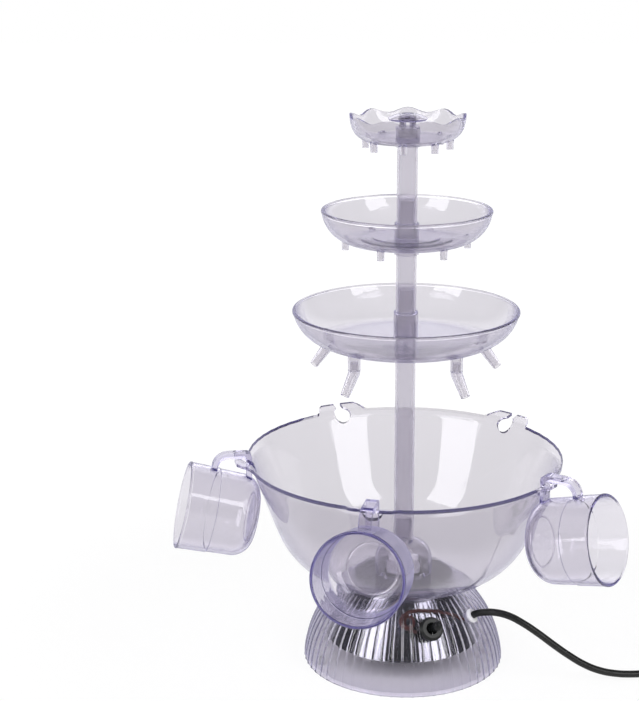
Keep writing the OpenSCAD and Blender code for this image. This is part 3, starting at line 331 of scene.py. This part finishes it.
rises = [i / cone_steps for i in range(cone_steps + 1)]
cone_rows = [(cone_foot_r - (cone_foot_r - cone_top_r) * t, cone_foot_z + (under_z - cone_foot_z) * t,
              flute_h * (1 - t)) for t in rises]
cone_rows += [(neck_hole_r, under_z, 0), (neck_hole_r, sheet_z, 0)]
cone_rows += [(cone_top_r - sheet + (cone_foot_r - cone_top_r) * t, sheet_z - (sheet_z - cone_foot_z) * t,
               flute_h * t) for t in rises]
fluted_cone = ring_mesh("fluted_cone", cone_rows, flute_count * points_per_wave, flute)
sharpen(fluted_cone, 40)
bright_sheet, desk, place = new_finish("bright_sheet_metal")
dents = noise(place, 45.0, 2.0)
dust = noise(place, 420.0, 3.0).step(0.5, 0.75)
finish(desk, {
    "Base Color": shade(dust, (0.45, 0.455, 0.48), (0.39, 0.4, 0.42)), "Metallic": 1.0,
    "Roughness": 0.1 + 0.12 * dust, "Normal": bump(dents, 0.12, 0.002)})
fluted_cone.data.materials.append(bright_sheet)
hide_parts("reflector")
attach(fluted_cone, "base")


# Bottom plate, pads and screws
# A pale moulded disc with vents closes the base from below, and three steel screws hold it to the shell.
# Black rubber grip pads sit in its recesses.
def soften():
    """Merges a CAD mesh's patches, shades it smooth and keeps its real edges crisp."""
    tree = bpy.data.node_groups.new("soften", "GeometryNodeTree")
    tree.interface.new_socket("Geometry", in_out="INPUT", socket_type="NodeSocketGeometry")
    tree.interface.new_socket("Geometry", in_out="OUTPUT", socket_type="NodeSocketGeometry")
    desk = Wire(tree)
    bare = desk.node("GeometryNodeRemoveAttribute", sockets={
        "Geometry": desk.node("NodeGroupInput"), "Name": "custom_normal"})
    joined = desk.node("GeometryNodeMergeByDistance", sockets={"Geometry": bare, "Distance": 0.00001})
    faces = desk.node("GeometryNodeSetShadeSmooth", {"domain": "FACE"}, {
        "Geometry": joined, "Shade Smooth": True})
    flat = desk.node("FunctionNodeCompare", {"data_type": "FLOAT", "operation": "LESS_THAN"}, {
        "A": desk.node("GeometryNodeInputMeshEdgeAngle"), "B": math.radians(17)})
    edges = desk.node("GeometryNodeSetShadeSmooth", {"domain": "EDGE"}, {
        "Geometry": faces, "Shade Smooth": flat})
    desk.node("NodeGroupOutput", sockets={"Geometry": edges})
    return tree


softening = soften()


def dress(material, *names):
    """Gives CAD nodes a material and even shading."""
    for name in names:
        nodes[name].material_slots[0].material = material
        nodes[name].modifiers.new("soften", "NODES").node_group = softening
        nodes[name].modifiers.new("even", "WEIGHTED_NORMAL").keep_sharp = True


def moulded(name, dark, light, rough, grain_scale, grain_h, shine=0.5):
    """Opaque plastic or rubber: two close shades in soft clouds, worn gloss and a fine moulded grain."""
    material, desk, place = new_finish(name)
    cloud = noise(place, 55.0, 4.0)
    rubbed = desk.node("ShaderNodeNewGeometry", output="Pointiness").step(0.52, 0.62)
    finish(desk, {
        "Base Color": shade(cloud, dark, light), "Roughness": rough + 0.16 * cloud - 0.12 * rubbed,
        "Specular IOR Level": shine, "Normal": bump(noise(place, grain_scale, 2.0), 0.25, grain_h)})
    return material


def plain_metal(name, dark, light, rough):
    """Turned or plated metal with fine tool marks round its axis."""
    material, desk, place = new_finish(name)
    drawn = desk.node("ShaderNodeMapping", sockets={"Vector": place, "Scale": (40.0, 40.0, 2600.0)})
    marks = noise(drawn, 1.0, 3.0)
    finish(desk, {
        "Base Color": shade(marks, dark, light), "Metallic": 1.0, "Roughness": rough + 0.18 * marks,
        "Normal": bump(marks, 0.1, 0.0002)})
    return material


pale_plastic = moulded("pale_plastic", dark=(0.8, 0.79, 0.82), light=(0.88, 0.87, 0.88), rough=0.36,
                       grain_scale=700.0, grain_h=0.0002)
black_rubber = moulded("black_rubber_grain", dark=(0.012, 0.013, 0.013), light=(0.026, 0.027, 0.026),
                       rough=0.5, grain_scale=1500.0, grain_h=0.0002, shine=0.3)
steel = plain_metal("plain_steel", dark=(0.45, 0.46, 0.48), light=(0.66, 0.67, 0.69), rough=0.24)
dress(pale_plastic, "bottom_plate")
dress(black_rubber, "floor_pads")
dress(steel, "plate_screws")

# Motor
# A steel can hangs from a pale mount whose neck passes up through the deck. Two screws hold it, and its shaft
# turns the impeller through a rubber seal.
dress(pale_plastic, "motor_mount", "impeller")
dress(steel, "motor_can", "motor_screws", "motor_shaft")
dress(black_rubber, "shaft_seal")

# Switch
# A black plastic toggle. Its body is behind the shell, a round nut clamps it from outside, and the lever
# throws sideways.
switch_black = moulded("switch_black", dark=(0.006, 0.007, 0.007), light=(0.012, 0.013, 0.013), rough=0.16,
                       grain_scale=1100.0, grain_h=0.0001, shine=0.25)
dress(switch_black, "switch_body", "switch_nut", "switch_lever")

# Grommet and leads
# A soft white grommet lines the hole where the cord leaves. Two brown insulated leads are behind the shell:
# one arches from the grommet over the switch to a slack loop beside it, the other runs in to the motor.
white_rubber = moulded("white_rubber_skin", dark=(0.82, 0.82, 0.83), light=(0.9, 0.9, 0.9), rough=0.42,
                       grain_scale=900.0, grain_h=0.0001)
dress(white_rubber, "cord_grommet")


def soft_line(name, points, diameter, material, roundness):
    """A flexible lead or cord: one smooth open curve through points, all in millimetres."""
    curve = bpy.data.curves.new(name, "CURVE")
    curve.dimensions = "3D"
    curve.bevel_depth = diameter / 2 / 1000
    curve.bevel_resolution = roundness
    curve.use_fill_caps = True
    curve.resolution_u = 6
    spline = curve.splines.new("BEZIER")
    spline.bezier_points.add(len(points) - 1)
    for knot, point in zip(spline.bezier_points, points):
        knot.co = Vector(point) / 1000
        knot.handle_left_type = knot.handle_right_type = "AUTO"
    curve.materials.append(material)
    piece = bpy.data.objects.new(name, curve)
    scene.collection.objects.link(piece)
    return piece


def on_skirt(azimuth, z, out):
    """The point at a distance out from the skirt, along its normal at an azimuth and a height."""
    r, a = skirt(z) + out * math.cos(lean(z)), math.radians(azimuth)
    return (r * math.cos(a), r * math.sin(a), z + out * math.sin(lean(z)))


outlet_az, outlet_z, switch_az = -32, 51, -70
lead_d, lead_roundness = 2.8, 3
brown_lead = moulded("brown_lead", dark=(0.06, 0.014, 0.01), light=(0.1, 0.026, 0.018), rough=0.4,
                     grain_scale=900.0, grain_h=0.0001)
to_switch = [on_skirt(*place) for place in (
    (-35, outlet_z, -5.5), (-43, 57, -5.5), (-52, 61, -5.5), (-61, 63.5, -5.2), (-70, 64.5, -4.8),
    (-78, 65, -4.4), (-85, 64, -4.2), (-90.5, 61, -4.2), (-91.5, 57, -4.3), (-88.5, 54, -4.4), (-84, 54, -5),
    (-81, 57, -6), (-81.5, 61, -7), (-85, 62.5, -7.4), (-88.5, 60.5, -8), (-88, 57, -8.8), (-84, 54, -9),
    (-79, 51, -7.5))]
switch_lead = soft_line("switch_lead", to_switch, lead_d, brown_lead, lead_roundness)
root_r, root_z, motor_side_r, lead_sag, lead_steps = 51.09, 39.57, 18.3, 5.0, 8
a, to_motor = math.radians(switch_az), []
for i in range(lead_steps + 1):
    t = i / lead_steps
    r = root_r - (root_r - motor_side_r) * t
    to_motor.append((r * math.cos(a), r * math.sin(a), root_z - lead_sag * math.sin(math.pi * t) ** 2))
motor_lead = soft_line("motor_lead", to_motor, lead_d, brown_lead, lead_roundness)
for lead in (switch_lead, motor_lead):
    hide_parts("lead_wires")
    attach(lead, "base")


# Power cord
# A round black mains lead leaves the grommet, sags to the table and runs off to the right. The length that
# the photograph doesn't show is wound in a flat double coil, held by a soft tie, and ends in a two-pin plug.
def ease(t):
    """A smooth rise from 0 to 1."""
    t = min(1.0, max(0.0, t))
    return t * t * (3 - 2 * t)


cord_black, desk, place = new_finish("cord_black")
cloud = noise(place, 60.0, 3.0)
scuff = noise(place, 230.0, 4.0).step(0.56, 0.7)
finish(desk, {
    "Base Color": shade(cloud, (0.009, 0.0095, 0.009), (0.019, 0.02, 0.019)),
    "Roughness": 0.26 + 0.12 * cloud + 0.12 * scuff, "Specular IOR Level": 0.28,
    "Normal": bump(noise(place, 1400.0, 2.0), 0.2, 0.0001)})
cord_d, cord_roundness, lay_z = 6.0, 6, 4.2
coil_x, coil_y, coil_r, coil_pitch = 262.0, 8.0, 44.0, 6.6
layer_turns, points_per_turn, climb_turns = 3.125, 24, 0.5
route = [on_skirt(outlet_az, outlet_z, 1.5), on_skirt(outlet_az, outlet_z, 7.5), (68, -42, 58.2),
         (77, -46, 60), (88, -49, 58.6), (100, -51.5, 53.2), (113, -52.5, 44.6), (126, -52.5, 34.6),
         (139, -52, 25), (152, -51, 16.6), (165, -49, 10.4), (179, -46, 6.4), (193, -43, 4.6),
         (208, -40, lay_z), (224, -37.5, lay_z), (240, -36, lay_z), (256, -36, lay_z)]
for i in range(int(2 * layer_turns * points_per_turn) + 1):
    t = i / points_per_turn
    r = coil_r - coil_pitch * (layer_turns - abs(t - layer_turns))
    a = math.radians(360 * t - 90)
    climb = ease((t - layer_turns) / climb_turns + 0.5)
    route.append((coil_x + r * math.cos(a), coil_y + r * math.sin(a), lay_z + coil_pitch * climb))
plug_z, plug_run, plug_steps, rise_steps = 8.2, 54.0, 5, 4
x, y, z = route[-1]
route += [(x, y + plug_run * i / plug_steps, z + (plug_z - z) * ease(i / rise_steps))
          for i in range(1, plug_steps + 1)]
power_cord = soft_line("mains_cord", route, cord_d, cord_black, cord_roundness)
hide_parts("power_cord", "cord_coil")
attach(power_cord, "base")

# Coil tie
# A closed strip of white woven tape. It passes round both layers of the coil, and holds the turns together.
# Its corners are round, because the tape is soft.
tie_in_y, tie_out_y, tie_low_z, tie_high_z, tie_corner_r, corner_steps = 31.075, 52.3, 2.1, 12.9, 1.6, 6
tie_section = [(-3.9, -0.32), (-3.2, -0.4), (0.0, -0.4), (3.2, -0.4), (3.9, -0.32), (4.0, 0.0),
               (3.9, 0.32), (3.2, 0.4), (0.0, 0.44), (-3.2, 0.4), (-3.9, 0.32), (-4.0, 0.0)]
tie_rows = []
for y, z, first in ((tie_out_y, tie_low_z, -90), (tie_out_y, tie_high_z, 0),
                    (tie_in_y, tie_high_z, 90), (tie_in_y, tie_low_z, 180)):
    for i in range(corner_steps + 1):
        a = math.radians(first + 90 * i / corner_steps)
        tie_rows.append([(coil_x + across, y + (tie_corner_r + out) * math.cos(a),
                          z + (tie_corner_r + out) * math.sin(a)) for across, out in tie_section])
tie = lofted("tie_band", tie_rows)
weave, desk, place = new_finish("tie_weave")
threads, picks = (desk.node("ShaderNodeTexWave", {"wave_type": "BANDS", "bands_direction": way}, {
    "Vector": place, "Scale": 260.0, "Distortion": 1.0, "Detail": 1.0}) for way in ("X", "Y"))
cloth = threads * 0.5 + picks * 0.5
finish(desk, {
    "Base Color": shade(cloth, (0.66, 0.66, 0.67), (0.86, 0.86, 0.86)), "Roughness": 0.7 + 0.2 * cloth,
    "Normal": bump(cloth, 0.5, 0.0003)})
tie.data.materials.append(weave)
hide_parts("coil_tie")
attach(tie, "base")

# Plug
# A black two-pin plug moulded onto the end of the cord, with a tapered sleeve behind it.
# Its two round pins are plated brass, set into the body.
dress(black_rubber, "plug_body")
brass = plain_metal("plated_brass", dark=(0.55, 0.5, 0.36), light=(0.74, 0.7, 0.56), rough=0.2)
dress(brass, "plug_pins")
tuple(c / 1000 for c in route[0])

# Bowl
# One clear moulding: a round-cornered bowl whose lip bends out into five hook tabs, each with a slanted
# keyhole. A gasket and a notched ring clamp it on the neck.
bowl_plastic = clear_plastic("bowl_plastic", tint=(0.79, 0.774, 0.79), density=46.0, haze=0.015,
                             edge_share=0.2, milk=0.03)
dress(bowl_plastic, "bowl")
dress(black_rubber, "bowl_gasket")
dress(pale_plastic, "lock_ring")

# Column
# A slotted bell over the impeller carries a stack of clear moulded tubes.
# Each tube plugs into the hub of the dish above it, so the column pulls apart by hand.
column_plastic = clear_plastic("column_plastic", tint=(0.775, 0.76, 0.785), density=50.0, haze=0.015,
                               edge_share=0.35, milk=0.06)
dress(column_plastic, "pump_cover", "lower_tube", "mid_tube", "upper_tube")

# Dishes, spouts and cap
# Three clear dishes in falling sizes. The lowest has bent spouts pushed into its nipples, the others short
# moulded nozzles, and the top one a wavy rim. The cap spreads the drink over the top dish.
dish_plastic = clear_plastic("dish_plastic", tint=(0.79, 0.775, 0.795), density=45.0, haze=0.015,
                             edge_share=0.42, milk=0.05)
dress(dish_plastic, "bottom_dish", "middle_dish", "top_dish")
dress(dish_plastic, "spout_1", "spout_2", "spout_3", "spout_4", "spout_5")
cap_plastic = clear_plastic("cap_plastic", tint=(0.62, 0.605, 0.635), density=60.0, haze=0.02, edge_share=0.4)
dress(cap_plastic, "top_cap")

# Cups
# Round-cornered clear cups with a step round the side and a thin ring on the floor. Each hangs by a thick
# strap handle threaded through a keyhole, and leans on the bowl.
cup_plastic = clear_plastic("cup_plastic", tint=(0.875, 0.86, 0.875), density=75.0, haze=0.015,
                            edge_share=0.5, milk=0.015)
dress(cup_plastic, "cup_left", "cup_front", "cup_right")
ring_r, ring_half_w, ring_half_h, ring_sides, ring_columns = 20.3, 0.8, 0.6, 10, 96
base_r, base_z, floor_t, tilt = 127.209, 132.302, 4.4, math.radians(13.5)
section = [2 * math.pi * i / ring_sides for i in range(ring_sides)]
ring_rows = [(ring_r + ring_half_w * math.cos(a), ring_half_h * math.sin(a), 0) for a in section]
for side, azimuth in (("left", 190), ("front", 259.5), ("right", 329)):
    ring = ring_mesh("cup_ring_" + side, ring_rows, ring_columns)
    a = math.radians(azimuth)
    axis = Vector((math.cos(a) * math.cos(tilt), math.sin(a) * math.cos(tilt), math.sin(tilt)))
    base = Vector((base_r * math.cos(a), base_r * math.sin(a), base_z))
    ring.location = (base + floor_t * axis) / 1000
    ring.rotation_euler = axis.to_track_quat("Z", "Y").to_euler()
    ring.data.materials.append(cup_plastic)
    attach(ring, "cup_" + side)
